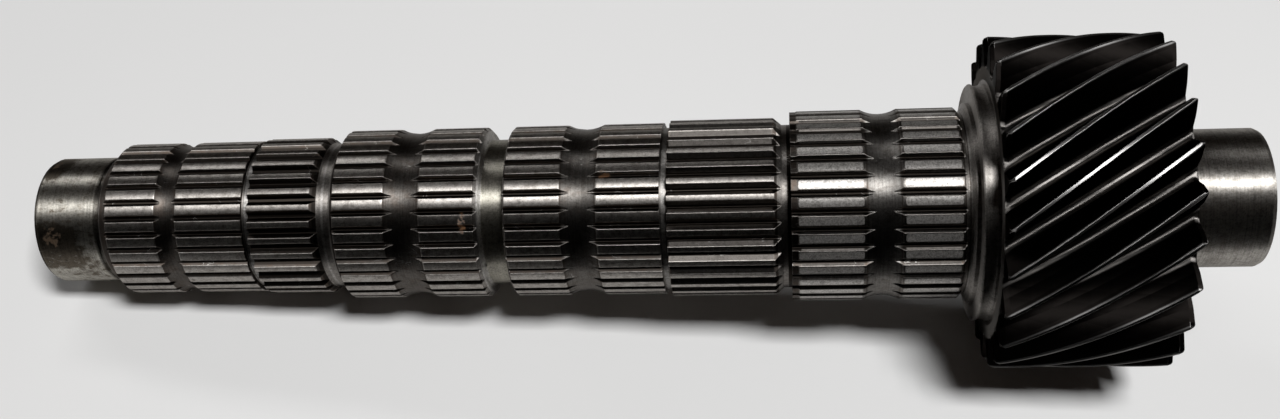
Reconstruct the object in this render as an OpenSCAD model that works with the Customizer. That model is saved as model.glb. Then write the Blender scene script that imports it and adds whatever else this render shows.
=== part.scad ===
// Transmission output shaft: one steel piece with a helical pinion, ten splined seats and two journals.
// It stands on the end face beside the pinion, with its axis on +Z and z = 0 at that face.
// Stations run upwards from there, and the seats are counted from the pinion to the tail.

/* [Pinion journal] */
// Diameter of the bearing journal beside the pinion
pinion_journal_d = 26.5; // [24:0.5:30]
// Length of that journal, from the end face to its shoulder
pinion_journal_len = 15.5; // [10:0.5:24]
// Diameter of the shoulder between the journal and the pinion
pinion_shoulder_d = 34; // [32:0.5:38]
// Width of the shoulder
pinion_shoulder_w = 2; // [1:0.5:4]

/* [Tail journal] */
// Diameter of the bearing journal at the thin end
tail_journal_d = 25.5; // [23:0.5:27]
// Length of that journal, from its shoulder to the end face
tail_journal_len = 13.5; // [10:0.5:24]
// Length along the shaft of the cone between seat 10 and the journal
tail_cone_len = 2.8; // [2:0.2:5]

/* [Ends] */
// Length of the bevel round each end face
end_bevel_len = 0.8; // [0.4:0.1:1.2]
// Depth of that bevel into the journal
end_bevel_depth = 0.4; // [0.2:0.1:0.6]
// Width of the grinding undercut at the foot of the tail journal
undercut_w = 0.6; // [0.4:0.1:1]
// Depth of the undercut
undercut_depth = 0.2; // [0.1:0.05:0.3]
// Diameter of the 60 degree centre hole at the end face
centre_d = 6.7; // [5:0.1:9]
// Diameter of the drilled pilot below the centre's cone
pilot_d = 3.2; // [2:0.1:4]
// Depth of the pilot from the end face
pilot_depth = 6.5; // [6:0.5:9]

/* [Pinion] */
// Number of pinion teeth
pinion_teeth = 23; // [20:1:26]
// Diameter over the tooth tips
pinion_tip_d = 64; // [60:0.5:72]
// Height of a tooth above the pitch circle
addendum = 3.2; // [2.8:0.1:3.4]
// Depth of a tooth below the pitch circle
dedendum = 2.8; // [2.7:0.1:3.4]
// Face width
pinion_w = 33; // [24:1:42]
// Helix angle at the pitch circle, left hand
helix_deg = 33.5; // [15:0.5:35]
// Pressure angle in the normal plane
pressure_deg = 20; // [18:0.5:22]
// Half of a tooth's angle at the pitch circle, in degrees
half_tooth_deg = 4.1; // [3.8:0.05:4.3]
// Length of the rounded corner at the collar end of each tooth tip
tip_relief_len = 1; // [0.6:0.1:2]
// Drop of the tip at that corner
tip_relief_drop = 0.7; // [0.3:0.1:1.2]
// Size of the corner at the journal end, as a share of the one at the collar end
journal_side_share = 0.7; // [0.3:0.1:1]
// Length of the bevel filed on the end edges of the tooth flanks
flank_bevel_len = 0.9; // [0.5:0.1:1.5]
// Depth of that bevel on the sharp edge of a tooth, in degrees of turn
sharp_bevel_deg = 1.5; // [0.5:0.1:2]
// Depth of that bevel on the blunt edge of a tooth, in degrees of turn
blunt_bevel_deg = 0.4; // [0.1:0.1:1]
// Turn of the teeth about the shaft at the middle of the face width, in degrees
pinion_clock = 0; // [0:0.1:15]

/* [Thrust collar] */
// Diameter over the two ridges of the thrust collar beside the pinion
collar_d = 46; // [44:0.1:48]
// Width of the collar, from the pinion's face to its thrust face
collar_w = 3; // [2.6:0.1:5]
// Width of the round waist turned into the collar's rim
waist_w = 2; // [1.4:0.1:2.2]
// Depth of that waist
waist_depth = 0.4; // [0.2:0.05:0.6]
// Diameter of the step between the collar and the first seat
step_d = 38.8; // [38:0.1:40]
// Width of the step
step_w = 0.8; // [0.5:0.1:1.5]
// Length of the cone from the step down to the neck
step_cone_len = 0.8; // [0.4:0.1:1.2]
// Bevel on the edges of the collar's rim and of seat 2
edge_bevel = 0.25; // [0.1:0.05:0.3]

/* [Pinion side splines, seats 1 and 2] */
// Number of spline teeth
low_teeth = 34; // [28:1:36]
// Diameter over the splines
low_tip_d = 37.2; // [37:0.1:38]
// Diameter at the spline roots
low_root_d = 35.8; // [35.2:0.1:36]
// Width of a spline's land
low_land_w = 1.9; // [1.4:0.1:2]
// Turn of these splines about the shaft, in degrees
low_clock = 6.7; // [0:0.1:10]

/* [Middle splines, seats 3 to 7] */
// Number of spline teeth
mid_teeth = 33; // [28:1:34]
// Diameter over the splines of seats 4 to 7
mid_tip_d = 34; // [33.6:0.1:34.4]
// Diameter over the sliding splines of seat 3
mid_slide_d = 34.9; // [34.6:0.1:35.2]
// Diameter at the spline roots
mid_root_d = 32.6; // [32.4:0.1:32.8]
// Width of a land on seats 4 to 7
mid_land_w = 1.8; // [1.2:0.1:1.9]
// Width of a land on seat 3
mid_slide_land_w = 1; // [0.8:0.1:1.3]
// Turn of these splines about the shaft, in degrees
mid_clock = 3.4; // [0:0.1:10]

/* [Tail side splines, seats 8 to 10] */
// Number of spline teeth
high_teeth = 30; // [26:1:32]
// Diameter over the splines of seats 9 and 10
high_tip_d = 30.7; // [30.5:0.1:31]
// Diameter over the sliding splines of seat 8
high_slide_d = 31.4; // [31.2:0.1:31.8]
// Diameter at the spline roots
high_root_d = 29.5; // [29.2:0.1:29.7]
// Width of a land on seats 9 and 10
high_land_w = 1.8; // [1.2:0.1:1.9]
// Width of a land on seat 8
high_slide_land_w = 1; // [0.8:0.1:1.3]
// Turn of these splines about the shaft, in degrees
high_clock = 11.7; // [0:0.1:12]

/* [Seat lengths] */
// Full-diameter length of seat 1
seat_1_len = 10.8; // [6:0.2:16]
// Full-diameter length of seat 2
seat_2_len = 12.2; // [6:0.2:18]
// Full-diameter length of seat 3
seat_3_len = 20.1; // [10:0.1:28]
// Full-diameter length of seat 4
seat_4_len = 11.8; // [6:0.2:18]
// Full-diameter length of seat 5
seat_5_len = 10.3; // [6:0.1:16]
// Full-diameter length of seat 6
seat_6_len = 10.3; // [6:0.1:16]
// Full-diameter length of seat 7
seat_7_len = 9.7; // [6:0.1:16]
// Full-diameter length of seat 8
seat_8_len = 12.4; // [6:0.1:18]
// Full-diameter length of seat 9
seat_9_len = 13.2; // [6:0.2:18]
// Full-diameter length of seat 10
seat_10_len = 9.8; // [6:0.2:16]

/* [Reliefs and grooves] */
// Length of the long bevel at the foot of a seat
long_bevel = 1.6; // [1:0.1:2.4]
// Length of the short bevel at the foot of a seat
short_bevel = 0.9; // [0.5:0.1:1.4]
// Length of the slightly lower band at the top of seat 2
low_band_len = 1.4; // [0.8:0.1:2]
// Drop of that band below the splines' tips
low_band_drop = 0.15; // [0.05:0.05:0.25]
// Width of the round relief between seats 1 and 2
relief_1_w = 7; // [4:0.1:8]
// Width of the round relief between seats 4 and 5
relief_4_w = 7.4; // [4:0.1:9]
// Width of the round relief between seats 6 and 7
relief_6_w = 7.4; // [4:0.1:9]
// Width of the round relief between seats 9 and 10
relief_9_w = 4.6; // [3:0.1:6]
// Depth of the round reliefs below the spline roots
relief_drop = 0.2; // [0.1:0.05:0.3]
// Width of the square groove between seats 2 and 3
groove_2_w = 1.6; // [1:0.1:2.4]
// Width of the square groove between seats 3 and 4
groove_3_w = 1.4; // [1:0.1:2.4]
// Width of the square groove between seats 7 and 8
groove_7_w = 2; // [1.2:0.1:3]
// Width of the square groove between seats 8 and 9
groove_8_w = 1.4; // [1:0.1:2.4]
// Depth of the square grooves below the spline roots
groove_drop = 0.25; // [0.1:0.05:0.5]
// Width of the deep thrust-ring groove between seats 5 and 6
ring_groove_w = 4.9; // [3:0.1:6]
// Diameter at the bottom of that groove
ring_groove_d = 29; // [27:0.1:31]
// Fillet radius in the bottom corners of that groove
ring_groove_fillet = 0.6; // [0.2:0.1:0.9]
// Width of the run-out neck at the foot of seat 1
foot_neck_w = 0.4; // [0.3:0.1:1]

/* [Hidden] */
$fn = 96;
flank_slope = tan(40);
slide_slope = tan(42);
least_floor_half = 0.08;
cutter_margin = 0.4;
gap_margin = 1.5;
gap_overrun = 0.6;
gap_steps = 9;
flank_points = 4;
root_width_share = 0.3;
first_flank_rise = 0.15;

// Stations along the shaft
shoulder_z = pinion_journal_len;
pinion_z0 = shoulder_z + pinion_shoulder_w;
pinion_z1 = pinion_z0 + pinion_w;
collar_z = pinion_z1 + collar_w;
step_z = collar_z + step_w;
neck_z = step_z + step_cone_len;
s1_foot = neck_z + foot_neck_w;
s1_lo = s1_foot + short_bevel;
s1_hi = s1_lo + seat_1_len;
s2_lo = s1_hi + relief_1_w;
s2_hi = s2_lo + seat_2_len;
s2_top = s2_hi + low_band_len;
s3_foot = s2_top + groove_2_w;
s3_lo = s3_foot + long_bevel;
s3_top = s3_lo + seat_3_len;
s4_lo = s3_top + groove_3_w;
s4_hi = s4_lo + seat_4_len;
s5_lo = s4_hi + relief_4_w;
s5_hi = s5_lo + seat_5_len;
s5_top = s5_hi + short_bevel/2;
s6_foot = s5_top + ring_groove_w;
s6_lo = s6_foot + short_bevel;
s6_hi = s6_lo + seat_6_len;
s7_lo = s6_hi + relief_6_w;
s7_hi = s7_lo + seat_7_len;
s7_top = s7_hi + long_bevel;
s8_foot = s7_top + groove_7_w;
s8_lo = s8_foot + long_bevel;
s8_top = s8_lo + seat_8_len;
s9_lo = s8_top + groove_8_w;
s9_hi = s9_lo + seat_9_len;
s10_lo = s9_hi + relief_9_w;
s10_hi = s10_lo + seat_10_len;
tail_z = s10_hi + tail_cone_len;
shaft_len = tail_z + tail_journal_len;

// Radii
journal_r = pinion_journal_d/2;
shoulder_r = pinion_shoulder_d/2;
tip_r = pinion_tip_d/2;
pitch_r = tip_r - addendum;
root_r = pitch_r - dedendum;
collar_r = collar_d/2;
step_r = step_d/2;
low_r = low_tip_d/2;
low_root = low_root_d/2;
mid_r = mid_tip_d/2;
mid_slide_r = mid_slide_d/2;
mid_root = mid_root_d/2;
high_r = high_tip_d/2;
high_slide_r = high_slide_d/2;
high_root = high_root_d/2;
ring_r = ring_groove_d/2;
tail_r = tail_journal_d/2;

// Outline of the turned blank, as [radius, station], from the pinion end up to the tail end
small_len = tip_relief_len*journal_side_share;
small_drop = tip_relief_drop*journal_side_share;
pinion_end = [
    [0, 0],
    [journal_r - end_bevel_depth, 0],
    [journal_r, end_bevel_len],
    [journal_r, shoulder_z],
    [shoulder_r, shoulder_z],
    [shoulder_r, pinion_z0],
    [tip_r - small_drop, pinion_z0],
    [tip_r - small_drop*0.4, pinion_z0 + small_len*0.3],
    [tip_r, pinion_z0 + small_len],
    [tip_r, pinion_z1 - tip_relief_len],
    [tip_r - tip_relief_drop*0.4, pinion_z1 - tip_relief_len*0.3],
    [tip_r - tip_relief_drop, pinion_z1],
    [collar_r, pinion_z1],
    [collar_r, collar_z - edge_bevel],
    [collar_r - edge_bevel, collar_z],
    [step_r, collar_z],
    [step_r, step_z]
];
low_seats = [
    [low_root - groove_drop, neck_z],
    [low_root - groove_drop, s1_foot],
    [low_r, s1_lo],
    [low_r, s2_hi],
    [low_r - low_band_drop, s2_hi + edge_bevel],
    [low_r - low_band_drop, s2_top]
];
mid_seats = [
    [mid_root - groove_drop, s2_top],
    [mid_root - groove_drop, s3_foot],
    [mid_slide_r, s3_lo],
    [mid_slide_r, s3_top],
    [mid_root - groove_drop, s3_top],
    [mid_root - groove_drop, s4_lo],
    [mid_r, s4_lo],
    [mid_r, s5_hi],
    [mid_r - short_bevel/2, s5_top],
    [ring_r, s5_top],
    [ring_r, s6_foot],
    [mid_root - groove_drop, s6_foot],
    [mid_r, s6_lo],
    [mid_r, s7_hi]
];
high_seats = [
    [high_root - groove_drop, s7_top],
    [high_root - groove_drop, s8_foot],
    [high_slide_r, s8_lo],
    [high_slide_r, s8_top],
    [high_root - groove_drop, s8_top],
    [high_root - groove_drop, s9_lo],
    [high_r, s9_lo],
    [high_r, s10_hi]
];
tail_end = [
    [tail_r, tail_z],
    [tail_r - undercut_depth, tail_z],
    [tail_r - undercut_depth, tail_z + undercut_w],
    [tail_r, tail_z + undercut_w],
    [tail_r, shaft_len - end_bevel_len],
    [tail_r - end_bevel_depth, shaft_len],
    [0, shaft_len]
];

// Round hollow of a given width and depth, cut into a turned surface of radius r
module hollow(r, z0, w, depth) {
    arc_r = (w*w/4 + depth*depth)/(2*depth);
    translate([r + arc_r - depth, z0 + w/2]) circle(r=arc_r);
}

// Fillet left in a bottom corner of the deep groove
module corner_fill(z, up) {
    translate([ring_r, z]) scale([1, up])
        difference() {
            square(ring_groove_fillet);
            translate([ring_groove_fillet, ring_groove_fillet]) circle(r=ring_groove_fillet);
        }
}

module turned_blank() {
    rotate_extrude()
        union() {
            difference() {
                polygon(concat(pinion_end, low_seats, mid_seats, high_seats, tail_end));
                hollow(collar_r, pinion_z1 + (collar_w - waist_w)/2, waist_w, waist_depth);
                hollow(low_r, s1_hi, relief_1_w, low_r - low_root + relief_drop);
                hollow(mid_r, s4_hi, relief_4_w, mid_r - mid_root + relief_drop);
                hollow(mid_r, s6_hi, relief_6_w, mid_r - mid_root + relief_drop);
                hollow(high_r, s9_hi, relief_9_w, high_r - high_root + relief_drop);
            }
            corner_fill(s5_top, 1);
            corner_fill(s6_foot, -1);
        }
}

// Cone, pilot and drill point of a centre hole, cut downwards from z = 0
module centre_hole() {
    cone_len = (centre_d - pilot_d)/2/tan(30);
    rotate_extrude()
        polygon([
            [0, 1],
            [centre_d/2 + tan(30), 1],
            [pilot_d/2, -cone_len],
            [pilot_d/2, -pilot_depth],
            [0, -pilot_depth - pilot_d/2*tan(31)]
        ]);
}

// Gaps between the splines of one group, from z0 to z1
module spline_gaps(teeth, seat_r, floor_r, land_w, slope, clock, z0, z1) {
    mouth = 2*PI*seat_r/teeth - land_w;
    out_r = seat_r + cutter_margin;
    floor_half = max(least_floor_half, mouth/2 - (seat_r - floor_r)*slope);
    out_half = mouth/2 + cutter_margin*slope;
    translate([0, 0, z0])
        linear_extrude(z1 - z0)
            for (i = [0:teeth - 1])
                rotate(clock + (i + 0.5)*360/teeth)
                    polygon([
                        [floor_r, -floor_half],
                        [out_r, -out_half],
                        [out_r, out_half],
                        [floor_r, floor_half]
                    ]);
}

// Half width of the gap between two pinion teeth at radius r, in degrees, with involute flanks
transverse_deg = atan(tan(pressure_deg)/cos(helix_deg));
base_r = pitch_r*cos(transverse_deg);
function involute(a) = tan(a)*180/PI - a;
function half_tooth(r) =
    half_tooth_deg + involute(transverse_deg) - involute(acos(min(1, base_r/r)));
function half_gap(r) = 180/pinion_teeth - half_tooth(r);

// One side of that gap, as [radius, half width], from its root out past the tips
first_r = base_r + first_flank_rise;
out_r = tip_r + gap_margin;
gap_side = concat(
    [[root_r, half_gap(base_r)*root_width_share]],
    [for (k = [0:flank_points - 1])
        let (r = first_r + (out_r - first_r)*k/(flank_points - 1))
            [r, half_gap(r)]]);
gap_outline = concat(
    [for (p = gap_side) [p[0], -p[1]]],
    [for (k = [flank_points:-1:0]) gap_side[k]]);

// Rings of the gaps, as [height, extra half width at the leading side, extra at the trailing side]
bevel_reach = (flank_bevel_len + gap_overrun)/flank_bevel_len;
inner_w = pinion_w - 2*flank_bevel_len;
gap_rings = concat(
    [[-gap_overrun, blunt_bevel_deg*bevel_reach, sharp_bevel_deg*bevel_reach]],
    [for (j = [0:gap_steps]) [flank_bevel_len + inner_w*j/gap_steps, 0, 0]],
    [[pinion_w + gap_overrun, sharp_bevel_deg*bevel_reach, blunt_bevel_deg*bevel_reach]]);

// The helical gaps, each a stack of turned outlines that runs past both faces of the pinion
module pinion_gaps() {
    twist_per_mm = tan(helix_deg)/pitch_r*180/PI;
    n = len(gap_outline);
    last = len(gap_rings) - 1;
    per_gap = n*(last + 1);
    points = [
        for (t = [0:pinion_teeth - 1])
            for (ring = gap_rings)
                let (turn = pinion_clock + (t + 0.5)*360/pinion_teeth - twist_per_mm*(ring[0] - pinion_w/2))
                    for (p = gap_outline)
                        let (a = turn + p[1] + (p[1] > 0 ? ring[1] : -ring[2]))
                            [p[0]*cos(a), p[0]*sin(a), pinion_z0 + ring[0]]
    ];
    faces = [
        for (t = [0:pinion_teeth - 1])
            let (o = t*per_gap)
                each concat(
                    [for (j = [0:last - 1])
                        for (i = [0:n - 1])
                            let (a = o + j*n + i, b = o + j*n + (i + 1)%n)
                                each [[a, a + n, b], [b, a + n, b + n]]],
                    [[for (i = [0:n - 1]) o + i]],
                    [[for (i = [n - 1:-1:0]) o + last*n + i]])
    ];
    polyhedron(points=points, faces=faces, convexity=8);
}

module output_shaft() {
    low_cut = neck_z + foot_neck_w/2;
    mid_cut = s2_top + groove_2_w/2;
    fixed_cut = s3_top + groove_3_w/2;
    high_cut = s7_top + groove_7_w/2;
    tail_cut = s8_top + groove_8_w/2;
    color("dimgray")
        difference() {
            turned_blank();
            spline_gaps(low_teeth, low_r, low_root, low_land_w, flank_slope, low_clock, low_cut, mid_cut);
            spline_gaps(mid_teeth, mid_slide_r, mid_root, mid_slide_land_w, slide_slope, mid_clock,
                mid_cut, fixed_cut);
            spline_gaps(mid_teeth, mid_r, mid_root, mid_land_w, flank_slope, mid_clock,
                fixed_cut, high_cut);
            spline_gaps(high_teeth, high_slide_r, high_root, high_slide_land_w, slide_slope, high_clock,
                high_cut, tail_cut);
            spline_gaps(high_teeth, high_r, high_root, high_land_w, flank_slope, high_clock,
                tail_cut, tail_z);
            translate([0, 0, shaft_len]) centre_hole();
            mirror([0, 0, 1]) centre_hole();
            pinion_gaps();
        }
}

output_shaft();
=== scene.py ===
import math
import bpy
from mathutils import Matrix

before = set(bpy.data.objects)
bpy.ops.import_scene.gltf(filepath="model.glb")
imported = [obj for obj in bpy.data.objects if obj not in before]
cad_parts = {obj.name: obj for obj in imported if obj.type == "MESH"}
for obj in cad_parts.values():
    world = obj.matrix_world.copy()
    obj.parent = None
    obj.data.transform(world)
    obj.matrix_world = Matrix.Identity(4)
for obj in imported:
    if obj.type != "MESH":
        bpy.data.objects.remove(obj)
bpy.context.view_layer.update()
from types import SimpleNamespace
import bmesh
import bpy
from mathutils import Matrix, Vector

mm = 0.001


# a shader socket that can be used in plain arithmetic
class Sock:
    def __init__(self, tree, out):
        self.tree, self.out = tree, out

    # a new node: its settings first, then the values or links of its inputs
    def make(self, kind, settings=None, inputs=None, output=0):
        node = self.tree.nodes.new(kind)
        for name, value in (settings or {}).items():
            setattr(node, name, value)
        for name, value in (inputs or {}).items():
            feed(self.tree, node, name, value)
        return Sock(self.tree, node.outputs[output])

    def math(self, operation, other=None):
        values = {0: self} if other is None else {0: self, 1: other}
        return self.make("ShaderNodeMath", {"operation": operation}, values)

    def reflected(self, operation, first):
        return self.make("ShaderNodeMath", {"operation": operation}, {0: first, 1: self})

    def __add__(self, other):
        return self.math("ADD", other)

    def __radd__(self, other):
        return self.reflected("ADD", other)

    def __sub__(self, other):
        return self.math("SUBTRACT", other)

    def __rsub__(self, other):
        return self.reflected("SUBTRACT", other)

    def __mul__(self, other):
        return self.math("MULTIPLY", other)

    def __rmul__(self, other):
        return self.reflected("MULTIPLY", other)

    def __truediv__(self, other):
        return self.math("DIVIDE", other)

    def __neg__(self):
        return self.math("MULTIPLY", -1.0)

    def top(self, other):
        return self.math("MAXIMUM", other)

    # 0 below low, 1 above high, smooth between; low above high turns it round
    def rise(self, low, high):
        ends = {"Value": self, "From Min": min(low, high), "From Max": max(low, high)}
        if low > high:
            ends.update({"To Min": 1.0, "To Max": 0.0})
        return self.make("ShaderNodeMapRange", {"interpolation_type": "SMOOTHSTEP"}, ends)

    # 1 from low to high, with soft ends
    def within(self, low, high, soft):
        return self.rise(low - soft, low + soft) * self.rise(high + soft, high - soft)

    # 1, less the strength where this noise is past its limits
    def fade(self, low, high, strength):
        return 1 - self.rise(low, high) * strength

    # from least to most as this noise passes its limits
    def lift(self, low, high, least, most):
        return least + self.rise(low, high) * (most - least)

    # a colour blend: this socket is the factor
    def blend(self, first, second):
        return self.make("ShaderNodeMix", {"data_type": "RGBA"}, {0: self, 6: first, 7: second}, output=2)

    # a blend of two directions: this socket is the factor
    def steer(self, first, second):
        return self.make("ShaderNodeMix", {"data_type": "VECTOR"}, {0: self, 4: first, 5: second}, output=1)

    def vector(self, operation, inputs, output=0):
        return self.make("ShaderNodeVectorMath", {"operation": operation}, inputs, output)


def feed(tree, node, name, value):
    if isinstance(value, Sock):
        tree.links.new(value.out, node.inputs[name])
    else:
        node.inputs[name].default_value = value


def newMaterial(name):
    material = bpy.data.materials.new(name)
    material.use_nodes = True
    tree = material.node_tree
    return material, tree, tree.nodes["Principled BSDF"], Sock(tree, None)


# the strongest of several masks
def strongest(masks):
    joined = masks[0]
    for mask in masks[1:]:
        joined = joined.top(mask)
    return joined


print("helpers ready")

# stations in mm up the shaft, radii in mm, turns in degrees
shaft = {
    "journalShoulder": 15.5, "pinionLow": 17.5, "pinionHigh": 50.5, "neck": 55.1, "splined": (55.3, 222.35),
    "tailShoulder": 225.05, "shadedTailFoot": (224.9, 226.1), "tailBevel": (237.9, 238.15),
    "seatStarts": [55.1, 88.6, 111.8, 176.5, 194.0],
    "seatRadii": [18.6, 17.45, 17.0, 15.7, 15.35],
    "ringGroove": (142.45, 147.35),
    # where a set of splines starts, how many, the turn of a land's middle, radius over the lands
    "splines": [(55.1, 34, 1.41, 18.6), (88.6, 33, 6.13, 17.0), (176.5, 30, 5.7, 15.4)],
    # the last value is how much a relief shines; the inset keeps its mask off the seats
    "reliefInset": 0.5,
    "reliefs": [(67.2, 74.2, 1.0), (124.3, 131.7, 0.55), (158.55, 165.95, 0.35), (207.85, 212.45, 0.25)],
    "grooves": [(55.1, 56.0), (88.5, 90.4), (111.1, 112.5), (142.3, 148.1), (176.6, 179.6), (194.3, 194.6),
                (223.4, 225.1)],
}

# soft edges of the masks, in mm
soft = {"step": 0.05, "seat": 0.1, "teeth": 0.04, "ring": 0.08, "span": 0.15, "foot": 0.3, "relief": 0.4}

# the pinion's teeth, and the radii from and to which each part of a tooth fades in
pinion = {
    "teeth": 23, "helix": 33.5, "pressure": 20.0, "pitchRadius": 28.8, "middle": 34.0,
    "inner": (23.6, 24.0), "root": (26.6, 26.2), "foot": (27.4, 26.6), "edge": (30.9, 31.5), "tip": (31.6, 31.95),
}

# depths in mm below the lands' radius between which a mask fades in
depths = {
    "land": (0.16, 0.06), "side": (0.08, 0.18), "edge": (0.3, 0.1), "hollow": (0.1, 0.3), "gap": (0.35, 0.55),
    "slidingSeat": 0.45,  # how much deeper the gaps start on the long sliding seat
}

# where use has marked the steel: stations in mm, turns in degrees
wear = {
    "spans": [(56.7, 66.9), (74.5, 86.1), (91.2, 110.9)],  # seats whose flanks are worn
    "hubs": (55.9, 88.3),
    "hubRub": (112.2, 111.6, 0.6, 1.0),  # corners are rubbed more below these stations: least and most
    "polished": [(56.6, 66.9), (74.45, 86.45)],  # where a hub has rubbed the lands bright
    "polishedHalfWidth": 0.38, "polishedCorner": 0.4, "polishedRim": (0.46, 0.34), "polishedRagged": 0.25,
    "crown": 1.0, "flankTilt": 0.17,  # how far the shading leans over on worn lands and flanks
    # station, width, strength
    "brightRings": [(111.8, 0.80, 0.9), (147.3, 0.55, 0.9), (178.5, 0.45, 0.55), (193.75, 0.95, 0.8),
                    (224.6, 0.25, 0.4), (55.0, 0.20, 0.6)],
    # station, turn, half length, half turn, strength
    "rustMarks": [(150.3, -8.0, 0.7, 7.0, 0.7), (122.8, 22.5, 1.0, 3.8, 0.6), (235.0, -17.0, 1.9, 9.0, 0.34),
                  (236.6, 60.0, 0.9, 7.0, 0.3)],
    "rustRagged": 3.0, "rustSpeckle": (0.62, 0.42, -0.48, 1.12), "rustRim": (1.1, 0.5),
    # the tail end is the most stained: stations it fades in between, turns from and to, soft edge
    "handled": [(226.5, 233.0, -46, -6, 9), (232.0, 237.0, 45, 80, 10)],
}

# noise on the steel: scale per mm, detail, stretch, roughness
patterns = {
    "blotch": (0.16, 5.0, (1, 1, 0.8), 0.62),
    "mottle": (0.7, 5.0, (1, 1, 0.7), 0.65),
    "grain": (3.2, 4.0, (1, 1, 1), 0.7),
    "streak": (1.6, 3.0, (1, 1, 0.10), 0.55),
    "grit": (1.1, 4.0, (1, 1, 0.8), 0.75),
    "rings": (4.0, 3.0, (0.03, 0.03, 1), 0.7),
    "ridge": (0.45, 2.0, (1, 1, 0.4), 0.55),
}
noiseMean = 0.5

# for each coat: the noise values that it fades between, then its strength, or its least and most strength
coats = {
    "flankFilm": (0.40, 0.65), "landFilm": (0.45, 0.70, 0.35), "reliefFilm": (0.45, 0.75, 0.5),
    "ringFilm": (0.50, 0.75, 0.45), "landPits": (0.52, 0.66), "landPitsStrength": 0.3,
    "polish": (0.35, 0.6, 0.35, 1.0), "ringPolish": (0.4, 0.6, 0.6, 1.0),
    "rubbed": (0.35, 0.6, 0.3, 0.8), "toothRubbed": (0.35, 0.6, 0.5, 1.0), "corner": (0.995, 0.93),
    "stain": (0.48, 0.60), "stainMix": {"blotch": 0.35, "mottle": 0.4, "grit": 0.25}, "handled": 0.24,
    "journalStain": 0.4, "tailStain": 0.45,
    "dirt": (0.28, 0.6, 0.45), "grime": (0.52, 0.36, 0.35), "turning": (0.56, 0.36, 0.3),
    "turnedGroove": 0.6, "turnedCollar": 0.7,
    "scratch": (0.007, 0.002), "scratchPatches": (0.55, 0.6),
    "strength": {
        "grooves": 0.8, "margin": 0.8, "edge": 0.65, "tips": 0.8, "root": 0.8, "ends": 0.7, "scratch": 0.35,
    },
}

steel = {
    "journal": (0.500, 0.475, 0.440, 1), "tail": (0.49, 0.468, 0.418, 1), "land": (0.425, 0.398, 0.370, 1),
    "worn": (0.60, 0.580, 0.555, 1), "margin": (0.112, 0.102, 0.094, 1), "flankWorn": (0.140, 0.128, 0.118, 1),
    "flank": (0.076, 0.067, 0.060, 1), "grimeAndShade": (0.024, 0.020, 0.017, 1), "relief": (0.220, 0.210, 0.197, 1),
    "edge": (0.485, 0.460, 0.435, 1), "gear": (0.0086, 0.0074, 0.0068, 1), "gearEdge": (0.32, 0.31, 0.30, 1),
    "glint": (0.29, 0.285, 0.28, 1), "collar": (0.320, 0.300, 0.280, 1), "ring": (0.37, 0.352, 0.302, 1),
    "gearRoot": (0.19, 0.18, 0.17, 1), "film": (0.078, 0.061, 0.050, 1), "stain": (0.088, 0.066, 0.043, 1),
    "rust": (0.170, 0.082, 0.036, 1),
}

# how rough the steel is, and what each part adds to that
roughness = {
    "base": 0.42, "least": 0.2,
    "grain": 0.12, "land": -0.06, "polished": 0.08, "brightRing": 0.08, "gear": 0.02, "toothEdge": -0.14,
    "tail": -0.07, "tailStain": 0.10, "bigJournal": -0.01, "collar": 0.04, "reliefs": -0.04, "rust": 0.25,
    "groove": -0.02, "foot": -0.08,
}

gloss = {
    "bevels": (0.22, 0.5),  # mm, on all edges and in the pinion's roots
    "bevelSamples": 6,
    "bump": 0.3, "bumpDepth": 0.02, "grainHeight": 0.5, "ringHeight": 0.7, "collarHeight": 0.4,
    "anisotropy": 0.93, "lay": 0.25,
    "tints": (0.58, 0.25),  # at grazing angles, on the shaft and on the pinion
    "tintWarmth": (1.0, 0.98, 0.96),
    "flankLikeness": (0.90, 0.985),  # how near a surface comes to the involute before it is shaded as one
    "dulledByPolish": 0.13, "dulledByRust": 0.9,
}


# where a point of the steel lies
def readPlace(pen):
    at = SimpleNamespace()
    place = pen.make("ShaderNodeTexCoord", output=3)
    at.inMm = pen.vector("SCALE", {0: place, "Scale": 1 / mm})
    at.x = pen.make("ShaderNodeSeparateXYZ", None, {0: at.inMm})
    at.y, at.z = (Sock(pen.tree, at.x.out.node.outputs[i]) for i in (1, 2))
    at.radius = (at.x * at.x + at.y * at.y).math("SQRT")
    at.turn = at.x.math("ARCTAN2", -at.y) * (180 / math.pi)  # 0 faces the camera, positive to the picture's top
    at.sinTurn, at.cosTurn = at.x / at.radius, -at.y / at.radius
    return at


def makePatterns(pen, at):
    found = SimpleNamespace()
    for name, (scale, detail, stretch, rough) in patterns.items():
        vector = pen.vector("MULTIPLY", {0: at.inMm, 1: stretch})
        inputs = {"Vector": vector, "Scale": scale, "Detail": detail, "Roughness": rough}
        setattr(found, name, pen.make("ShaderNodeTexNoise", None, inputs))
    return found


# the depth below the seat's lands, and the way round from the middle of the nearest land
def findLands(at):
    radii = shaft["seatRadii"]
    landRadius, edge = radii[0], soft["step"]
    for start, before, after in zip(shaft["seatStarts"][1:], radii, radii[1:]):
        landRadius = landRadius + at.z.rise(start - edge, start + edge) * (after - before)
    at.depth = landRadius - at.radius
    at.aside, at.lean = 0.0, 0.0  # mm from the land's middle, and the same as a signed angle
    for start, count, middle, reach in shaft["splines"]:
        pitch = 360 / count
        step = ((at.turn - (middle - pitch / 2)) / pitch).math("FLOORED_MODULO", 1.0) - 0.5
        past = at.z.rise(start - edge, start + edge)
        at.aside = at.aside * (1 - past) + step.math("ABSOLUTE") * (math.radians(pitch) * reach) * past
        at.lean = at.lean * (1 - past) + step * math.radians(pitch) * past


def findRust(at, noise):
    marks = []
    for height, turn, long, wide, strength in wear["rustMarks"]:
        reach = ((at.z - height) / long).math("POWER", 2.0) + ((at.turn - turn) / wide).math("POWER", 2.0)
        ragged = (noise.mottle - noiseMean) * wear["rustRagged"] + noise.grit.lift(*wear["rustSpeckle"])
        marks.append((reach + ragged).rise(*wear["rustRim"]) * strength)
    return strongest(marks)


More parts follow.
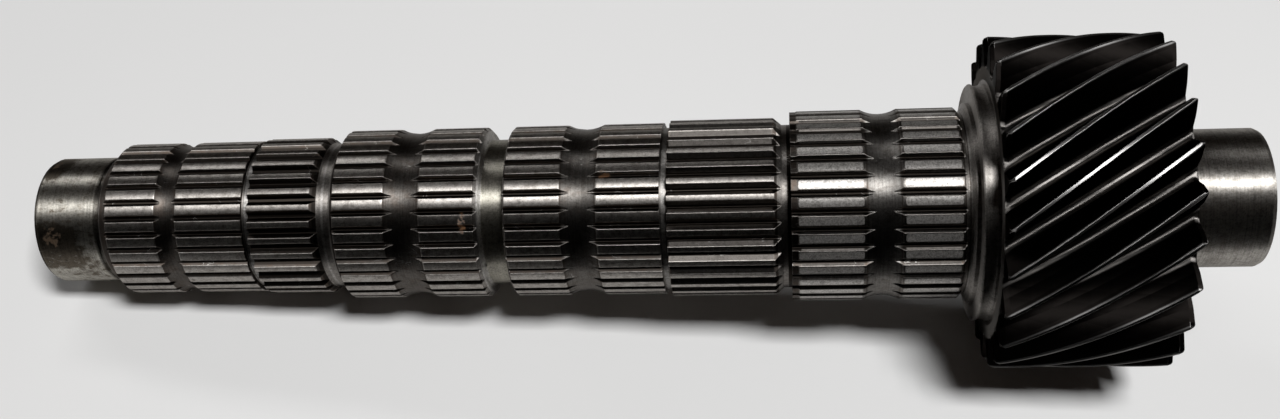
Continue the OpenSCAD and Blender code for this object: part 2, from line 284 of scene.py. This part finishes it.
# a rectangle with rounded corners on each land
def findPolished(at, noise):
    corner, patches = wear["polishedCorner"], []
    for low, high in wear["polished"]:
        past = (at.z - (low + high) / 2).math("ABSOLUTE") - ((high - low) / 2 - corner)
        beside = at.aside - wear["polishedHalfWidth"]
        reach = (past.top(0.0).math("POWER", 2.0) + beside.top(0.0).math("POWER", 2.0)).math("SQRT")
        ragged = (noise.grit - noiseMean) * wear["polishedRagged"]
        patches.append((reach + ragged).rise(*wear["polishedRim"]))
    return strongest(patches)


# masks for the parts of the shaft
def findZones(at, noise):
    z, radius, depth = at.z, at.radius, at.depth
    zone, edge, inset = SimpleNamespace(), soft["step"], shaft["reliefInset"]
    zone.splines = z.within(*shaft["splined"], soft["seat"])
    zone.land = depth.rise(*depths["land"]) * zone.splines
    slidingSeat = z.within(shaft["seatStarts"][1], shaft["seatStarts"][2], soft["seat"])
    deep = (depth - slidingSeat * depths["slidingSeat"]).rise(*depths["gap"])
    zone.side = depth.rise(*depths["side"]) * zone.splines * (1 - deep)
    hollow = depth.rise(*depths["hollow"])
    reliefs = [(z.within(low + inset, high - inset, soft["relief"]), shine)
               for low, high, shine in shaft["reliefs"]]
    zone.reliefs = strongest([relief for relief, shine in reliefs]) * hollow
    zone.shine = strongest([relief * shine for relief, shine in reliefs]) * hollow
    zone.grooves = strongest([z.within(low, high, edge) for low, high in shaft["grooves"]])
    zone.gaps = deep * zone.splines * (1 - zone.reliefs) * (1 - zone.grooves)
    zone.brightRing = strongest([z.within(middle - width / 2, middle + width / 2, soft["ring"]) * strength
                                 for middle, width, strength in wear["brightRings"]])
    zone.rust = findRust(at, noise)

    teeth = z.within(shaft["pinionLow"] - edge, shaft["pinionHigh"] + edge, soft["teeth"])
    zone.gear = teeth * radius.rise(*pinion["inner"])
    zone.foot = zone.gear * radius.rise(*pinion["foot"])
    zone.tips = zone.gear * radius.rise(*pinion["tip"])
    zone.collar = z.within(shaft["pinionHigh"], shaft["neck"], edge) * (1 - zone.gear)
    zone.bigJournal = z.rise(shaft["journalShoulder"] + edge, shaft["journalShoulder"] - edge)
    zone.tailJournal = z.rise(shaft["tailShoulder"] - soft["seat"], shaft["tailShoulder"] + soft["seat"])
    zone.journals = zone.bigJournal.top(zone.tailJournal)
    zone.ringGroove = z.within(*shaft["ringGroove"], edge)
    # painted shade in the corner at the foot of the tail's shoulder; the end bevel past the tail is darkened as
    # well
    zone.ends = z.rise(*shaft["tailBevel"]).top(z.within(*shaft["shadedTailFoot"], soft["foot"]))

    zone.wornSpan = strongest([z.within(low, high, soft["span"]) for low, high in wear["spans"]])
    zone.polished = findPolished(at, noise) * zone.land
    zone.margin = zone.land * z.within(*wear["hubs"], soft["seat"]) * (1 - zone.polished)
    handled = strongest([z.rise(low, high) * at.turn.within(fromTurn, toTurn, blur)
                         for low, high, fromTurn, toTurn, blur in wear["handled"]])
    stain = handled * coats["handled"]
    for name, share in coats["stainMix"].items():
        stain = stain + getattr(noise, name) * share
    zone.stain = stain.rise(*coats["stain"])
    return zone


# the pinion's flanks are cut in steps, so their true involute slope is worked out for the shading
def involuteNormal(pen, at):
    pitch = 360 / pinion["teeth"]
    helix, pressure = math.radians(pinion["helix"]), math.radians(pinion["pressure"])
    twist = math.tan(helix) / pinion["pitchRadius"]
    baseRadius = pinion["pitchRadius"] * math.cos(math.atan(math.tan(pressure) / math.cos(helix)))
    teethRound = (at.turn - 90 + (at.z - pinion["middle"]) * math.degrees(twist)) / pitch + 0.5
    side = (teethRound.math("FLOORED_MODULO", 1.0) - 0.5).math("SIGN")
    slope = (at.radius * at.radius - baseRadius ** 2).top(0.0).math("SQRT") / baseRadius
    normal = pen.make("ShaderNodeCombineXYZ", None, {
        0: side * at.cosTurn + slope * at.sinTurn,
        1: side * at.sinTurn - slope * at.cosTurn,
        2: side * at.radius * twist})
    return pen.vector("NORMALIZE", {0: normal})


# the direction that the steel is shaded in, and where it has a corner
def shapeShading(pen, at, zone):
    fineEdge, rootEdge = (pen.make("ShaderNodeBevel", {"samples": gloss["bevelSamples"]}, {"Radius": size * mm})
                          for size in gloss["bevels"])
    flank = involuteNormal(pen, at)
    likeness = pen.vector("DOT_PRODUCT", {0: flank, 1: fineEdge}, output=1)
    onFlank = zone.gear * (1 - zone.foot) * likeness.rise(*gloss["flankLikeness"])
    edge = onFlank.steer(zone.foot.steer(fineEdge, rootEdge), flank)
    # wear has crowned the lands, so each one catches more of the room than a true cylinder would
    crown = at.lean * zone.land * wear["crown"]
    crown = crown - at.lean.math("SIGN") * zone.side * zone.wornSpan * wear["flankTilt"]
    tilt = pen.make("ShaderNodeCombineXYZ", None, {0: crown * at.cosTurn, 1: crown * at.sinTurn, 2: 0.0})
    edge = pen.vector("NORMALIZE", {0: pen.vector("ADD", {0: edge, 1: tilt})})
    facing = pen.make("ShaderNodeNewGeometry", output=3)
    corner = pen.vector("DOT_PRODUCT", {0: fineEdge, 1: facing}, output=1).rise(*coats["corner"])
    return edge, corner


# corners rubbed bright by handling, and more so where the hubs nearest the pinion have sat
def findRubbed(at, noise, zone, corner):
    rubbed = corner * at.depth.rise(*depths["edge"]) * zone.splines
    zone.rubbed = rubbed * noise.streak.lift(*coats["rubbed"]) * at.z.lift(*wear["hubRub"])
    toothEdges = zone.tips.top(zone.gear * at.radius.rise(*pinion["edge"]))
    zone.toothEdges = corner * toothEdges * noise.streak.lift(*coats["toothRubbed"])


def layColours(at, noise, zone):
    strength = coats["strength"]
    low, high, dirt = coats["dirt"]
    dirty = (1 - noise.grain.rise(low, high)) * (1 - zone.gear) * dirt
    low, high, grime = coats["grime"]
    grimy = noise.grit.rise(low, high) * (1 - zone.gear) * grime
    low, high, turning = coats["turning"]
    turned = zone.journals.top(zone.reliefs)
    turned = turned.top(zone.ringGroove * coats["turnedGroove"]).top(zone.collar * coats["turnedCollar"])
    cutRings = noise.rings.rise(low, high) * turned * turning
    scratch = (noise.ridge - noiseMean).math("ABSOLUTE").rise(*coats["scratch"])
    scratch = scratch * noise.blotch.rise(*coats["scratchPatches"]) * (1 - zone.gear)
    stained = zone.stain * (coats["journalStain"] + zone.tailJournal * coats["tailStain"])
    journalColour = stained.blend(zone.tailJournal.blend(steel["journal"], steel["tail"]), steel["stain"])

    # a dark oiled body, then each coat over what is there, with painted shade at the tail's shoulder among them
    body = noise.mottle.rise(*coats["flankFilm"]).blend(steel["flank"], steel["film"])
    colour = zone.wornSpan.blend(body, steel["flankWorn"])
    layers = [
        (noise.mottle.fade(*coats["landFilm"]) * zone.land, steel["land"]),
        (noise.grit.rise(*coats["landPits"]) * zone.land * coats["landPitsStrength"], steel["worn"]),
        (zone.shine * noise.mottle.fade(*coats["reliefFilm"]), steel["relief"]),
        # the gap floors coloured almost black, darker than the flanks
        (zone.gaps, steel["grimeAndShade"]),
        (zone.grooves * zone.splines * strength["grooves"], steel["collar"]),
        (zone.margin * strength["margin"], steel["margin"]),
        (zone.polished * noise.grain.lift(*coats["polish"]), steel["worn"]),
        (zone.rubbed * strength["edge"], steel["edge"]),
        (zone.collar, steel["collar"]),
        (zone.ringGroove * noise.mottle.fade(*coats["ringFilm"]), steel["ring"]),
        (zone.gear, steel["gear"]),
        (zone.toothEdges, steel["gearEdge"]),
        (zone.tips * strength["tips"], steel["glint"]),
        (zone.foot * at.radius.rise(*pinion["root"]) * strength["root"], steel["gearRoot"]),
        (zone.brightRing * noise.streak.lift(*coats["ringPolish"]), steel["worn"]),
        (zone.journals, journalColour),
        (dirty, steel["grimeAndShade"]),
        (grimy, steel["grimeAndShade"]),
        (cutRings, steel["grimeAndShade"]),
        # painted shade at the foot of the tail's shoulder, with the tail's end bevel darkened too
        (zone.ends * strength["ends"], steel["grimeAndShade"]),
        (scratch * strength["scratch"], steel["worn"]),
        (zone.rust, steel["rust"]),
    ]
    for mask, coat in layers:
        colour = mask.blend(colour, coat)
    return colour


def layRoughness(noise, zone):
    parts = {
        "grain": noise.grain, "land": zone.land, "polished": zone.polished, "brightRing": zone.brightRing,
        "gear": zone.gear, "toothEdge": zone.toothEdges.top(zone.tips), "tail": zone.tailJournal,
        "tailStain": zone.tailJournal * zone.stain, "bigJournal": zone.bigJournal, "collar": zone.collar,
        "reliefs": zone.reliefs, "rust": zone.rust, "groove": zone.ringGroove, "foot": zone.foot,
    }
    rough = roughness["base"]
    for name, mask in parts.items():
        rough = rough + mask * roughness[name]
    return rough.top(roughness["least"])


def makeSteel():
    material, tree, shader, pen = newMaterial("workedSteel")
    at = readPlace(pen)
    noise = makePatterns(pen, at)
    findLands(at)
    zone = findZones(at, noise)
    edge, corner = shapeShading(pen, at, zone)
    findRubbed(at, noise, zone, corner)
    colour = layColours(at, noise, zone)
    rough = layRoughness(noise, zone)

    turned = zone.journals + zone.ringGroove + zone.reliefs + zone.collar * gloss["collarHeight"]
    height = noise.grain * gloss["grainHeight"] + noise.rings * turned * gloss["ringHeight"]
    bump = pen.make("ShaderNodeBump", None, {
        "Strength": gloss["bump"], "Distance": gloss["bumpDepth"] * mm, "Height": height, "Normal": edge})
    metal = 1.0 - (zone.polished * gloss["dulledByPolish"]).top(zone.rust * gloss["dulledByRust"])

    # turned all over, so a glint runs along the shaft, and along the teeth on the pinion
    toothShader = pen.make("ShaderNodeBsdfPrincipled")
    lays = (gloss["lay"], gloss["lay"] + pinion["helix"] / 360)
    for each, lay, tint in zip((shader, toothShader.out.node), lays, gloss["tints"]):
        feed(tree, each, "Base Color", colour)
        feed(tree, each, "Metallic", metal)
        feed(tree, each, "Roughness", rough)
        feed(tree, each, "Specular Tint", tuple(tint * warm for warm in gloss["tintWarmth"]) + (1,))
        feed(tree, each, "Anisotropic", gloss["anisotropy"])
        feed(tree, each, "Anisotropic Rotation", lay)
        feed(tree, each, "Normal", bump)
    both = pen.make("ShaderNodeMixShader", None, {0: zone.gear, 1: Sock(tree, shader.outputs[0]), 2: toothShader})
    tree.links.new(both.out, tree.nodes["Material Output"].inputs["Surface"])
    return material


steelMaterial = makeSteel()
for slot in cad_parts["output_shaft"].material_slots:
    slot.material = steelMaterial
print("steel on")

# the table that the shaft lies on, seen from 49 degrees above, in metres: it touches the pinion's tips
# and the last seat, each given as a radius and a station
table = {
    "turn": 41.0, "low": (0.032, 0.0505), "high": (0.01535, 0.2222), "gap": 0.0003, "centre": 0.08, "half": 1.6,
    "colour": (0.815, 0.815, 0.812, 1), "cloudColour": (0.802775, 0.802775, 0.79982, 1),
    "cloudScale": 9.0, "cloud": (0.3, 0.7),
}
# a black card past the picture's lower edge, seen only in the steel, where it paints dark reflections: its
# stations and how far away it stands there
darkCard = {
    "feet": [(-0.15, 0.056), (0.01, 0.050), (0.045, 0.037), (0.105, 0.037), (0.125, 0.041), (0.205, 0.043),
             (0.224, 0.045), (0.228, 0.064), (0.45, 0.070)],
    "height": 0.065, "colour": (0.02, 0.02, 0.02, 1),
}
dull = {"roughness": 0.9, "shine": 0.1}


def addStage(name, shape, material):
    mesh = bpy.data.meshes.new(name)
    shape.to_mesh(mesh)
    shape.free()
    mesh.materials.append(material)
    thing = bpy.data.objects.new(name, mesh)
    bpy.context.scene.collection.objects.link(thing)
    return thing


def dullMaterial(name, colour):
    material, tree, shader, pen = newMaterial(name)
    feed(tree, shader, "Base Color", colour)
    feed(tree, shader, "Roughness", dull["roughness"])
    feed(tree, shader, "Specular IOR Level", dull["shine"])
    return material, tree, shader, pen


def makeTable():
    (lowRadius, lowStation), (highRadius, highStation) = table["low"], table["high"]
    turn = math.radians(table["turn"])
    out = Vector((-math.sin(turn), math.cos(turn), 0))  # from the shaft's axis to the table
    across = Vector((math.cos(turn), math.sin(turn), 0))
    taper = (highRadius - lowRadius) / (highStation - lowStation)
    along = (out * taper + Vector((0, 0, 1))).normalized()
    facing = across.cross(along)  # towards the shaft
    start = out * lowRadius + Vector((0, 0, lowStation))
    middle = start + along * table["centre"] - facing * table["gap"]
    place = Matrix.Translation(middle) @ Matrix((across, along, facing)).transposed().to_4x4()
    shape = bmesh.new()
    bmesh.ops.create_grid(shape, x_segments=1, y_segments=1, size=table["half"], matrix=place)

    material, tree, shader, pen = dullMaterial("paleTable", table["colour"])
    place = pen.make("ShaderNodeTexCoord", output=3)
    cloud = pen.make("ShaderNodeTexNoise", None, {"Vector": place, "Scale": table["cloudScale"], "Detail": 2.0})
    feed(tree, shader, "Base Color", cloud.rise(*table["cloud"]).blend(table["colour"], table["cloudColour"]))
    behind = pen.make("ShaderNodeNewGeometry", output=6)  # its back is clear, for the views from behind
    clear = pen.make("ShaderNodeBsdfTransparent")
    both = pen.make("ShaderNodeMixShader", None, {0: behind, 1: Sock(tree, shader.outputs[0]), 2: clear})
    tree.links.new(both.out, tree.nodes["Material Output"].inputs["Surface"])
    addStage("table", shape, material)

    feet = []
    for station, away in darkCard["feet"]:
        radius = lowRadius + (station - lowStation) * taper
        feet.append(out * radius + Vector((0, 0, station)) - across * away)
    makeCard(feet, facing * darkCard["height"])


# stands on the table along its feet
def makeCard(feet, rise):
    shape = bmesh.new()
    corners = [shape.verts.new(foot) for foot in feet]
    sides = [shape.edges.new(pair) for pair in zip(corners, corners[1:])]
    raised = bmesh.ops.extrude_edge_only(shape, edges=sides)["geom"]
    bmesh.ops.translate(shape, verts=[v for v in raised if isinstance(v, bmesh.types.BMVert)], vec=rise)
    card = addStage("darkCard", shape, dullMaterial("blackCard", darkCard["colour"])[0])
    # hidden from the camera, from diffuse light and from shadows, so it only paints dark reflections into the
    # steel
    card.visible_camera = False
    card.visible_shadow = False
    card.visible_diffuse = False


makeTable()
print("table set")

# each lamp: degrees from the camera's side to the picture's top, degrees to its right, then metres away,
# long and wide, and watts
lamps = {
    "aim": (0.0, 0.0, 0.11),
    "list": [
        ("window", 23.5, 19.0, 1.3, 0.375, 0.245, 15.9),
        ("wall", 77.0, -25.0, 1.0, 0.7, 0.15, 1.45),
    ],
    "world": (0.013, 0.0095, 0.0075, 1),
}


def makeLamps():
    aim = Vector(lamps["aim"])
    for name, turn, right, distance, length, width, watts in lamps["list"]:
        data = bpy.data.lights.new(name, "AREA")
        data.shape = "RECTANGLE"
        data.size, data.size_y, data.energy = width, length, watts
        lamp = bpy.data.objects.new(name, data)
        lamp.visible_camera = False
        a, b = math.radians(turn), math.radians(right)
        away = Vector((math.sin(a) * math.cos(b), -math.cos(a) * math.cos(b), -math.sin(b)))
        side = Vector((math.cos(a), math.sin(a), 0.0))
        up = away.cross(side)
        turned = Matrix((side, up, away)).transposed().to_4x4()
        lamp.matrix_world = Matrix.Translation(aim + away * distance) @ turned
        bpy.context.scene.collection.objects.link(lamp)
    world = bpy.data.worlds.new("room")
    world.use_nodes = True
    world.node_tree.nodes["Background"].inputs["Color"].default_value = lamps["world"]
    bpy.context.scene.world = world


makeLamps()
print("lamps set")

# the photo's camera, fitted to the shaft's outline and grooves: lengths in photo pixels, unit in metres
photo = {
    "width": 1280, "focal": 1369.06, "sensor": 36.0, "unit": 0.0002, "clip": (0.01, 20.0),
    "drop": 0.6393, "roll": 0.0191587, "depthTilt": 0.105763, "endStation": 589.0,
}


def makeCamera():
    roll, tilt = photo["roll"], photo["depthTilt"]
    axis = Vector((math.cos(tilt) * math.cos(roll), math.cos(tilt) * math.sin(roll), math.sin(tilt)))
    toCamera = Vector((0.0, -photo["drop"], photo["focal"]))
    station = toCamera.dot(axis)
    toward = toCamera - axis * station
    distance = toward.length
    toward.normalize()
    across = toward.cross(axis)
    data = bpy.data.cameras.new("photoCamera")
    data.sensor_fit = "HORIZONTAL"
    data.sensor_width = photo["sensor"]
    data.lens = photo["sensor"] * photo["focal"] / photo["width"]
    data.clip_start, data.clip_end = photo["clip"]
    camera = bpy.data.objects.new("photoCamera", data)
    turn = Matrix((across, -toward, -axis))
    place = Vector((0.0, -distance * photo["unit"], (photo["endStation"] - station) * photo["unit"]))
    camera.matrix_world = Matrix.Translation(place) @ turn.to_4x4()
    bpy.context.scene.collection.objects.link(camera)
    bpy.context.scene.camera = camera


makeCamera()
bpy.context.scene.view_settings.view_transform = "Standard"
print("camera set")
